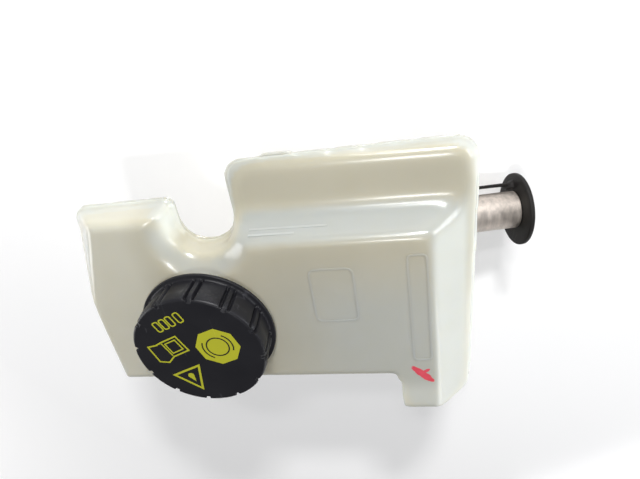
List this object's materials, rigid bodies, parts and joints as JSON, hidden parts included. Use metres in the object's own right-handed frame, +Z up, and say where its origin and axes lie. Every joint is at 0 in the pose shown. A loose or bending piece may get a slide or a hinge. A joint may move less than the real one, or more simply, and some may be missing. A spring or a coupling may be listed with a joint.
{
  "type": "brake fluid reservoir",
  "caption": "Brake fluid reservoir with a stepped welded plastic tank, notch, screw cap, strainer, level float and sensor, two outlets and a sleeved retaining pin.",
  "frame": {"origin": "on the front outlet's axis at its shoulder, the face that seats on the grommet", "axes": "+Z up as the tank lies in the car, -Y towards the front edge with the notch, +X towards the filler cap's end, away from the pin's head"},
  "size_m": [0.2134, 0.138, 0.0987],
  "materials": {
    "tank_plastic": "natural milky polypropylene, faintly mottled, glossy on its edges",
    "tray_plastic": "natural milky polypropylene, a little darker",
    "cap_plastic": "black, finely grained, with yellow print",
    "rubber": "black, dull",
    "ring_plastic": "dark grey",
    "strainer_plastic": "white nylon",
    "strainer_gauze": "fine nylon gauze",
    "float_foam": "tan, fine-pored",
    "magnet": "dark ferrite",
    "sensor_plastic": "black, satin",
    "reed_glass": "greenish, clear",
    "terminal_brass": "tinned brass",
    "pin_plastic": "black to olive brown, scuffed",
    "sleeve_steel": "drawn tube with a dull warm tint and fine streaks"
  },
  "bodies": {
    "root": {"upper_shell": "tank_plastic", "lower_shell": "tray_plastic", "strainer_frame": "strainer_plastic", "strainer_mesh": "strainer_gauze", "sensor_housing": "sensor_plastic", "sensor_reed": "reed_glass", "terminal_front": "terminal_brass", "terminal_rear": "terminal_brass", "sensor_seal": "rubber"},
    "seal": {"cap_diaphragm": "rubber", "diaphragm_ring": "ring_plastic"},
    "cap": {"cap_shell": "cap_plastic"},
    "float": {"float_body": "float_foam", "float_magnet": "magnet"},
    "pin": {"retaining_pin": "pin_plastic", "pin_sleeve": "sleeve_steel"}
  },
  "joints": [
    {"name": "cap_lift", "type": "slide", "parent": "root", "child": "seal", "axis": [0, 0, 1], "range_m": [0, 0.006]},
    {"name": "cap_turn", "type": "hinge", "parent": "seal", "child": "cap", "pos_m": [0.10334, 0.0471, 0.055], "axis": [0, 0, 1], "range_deg": [0, 540]},
    {"name": "float_rise", "type": "slide", "parent": "root", "child": "float", "axis": [0, 0, 1], "range_m": [0, 0.014]},
    {"name": "pin_pull", "type": "slide", "parent": "root", "child": "pin", "axis": [-0.9673, 0.0761, -0.2419], "range_m": [0, 0.072]}
  ],
  "couplings": [
    {"joint": "cap_lift", "follows": "cap_turn", "m_per_rad": 0.0006366}
  ]
}
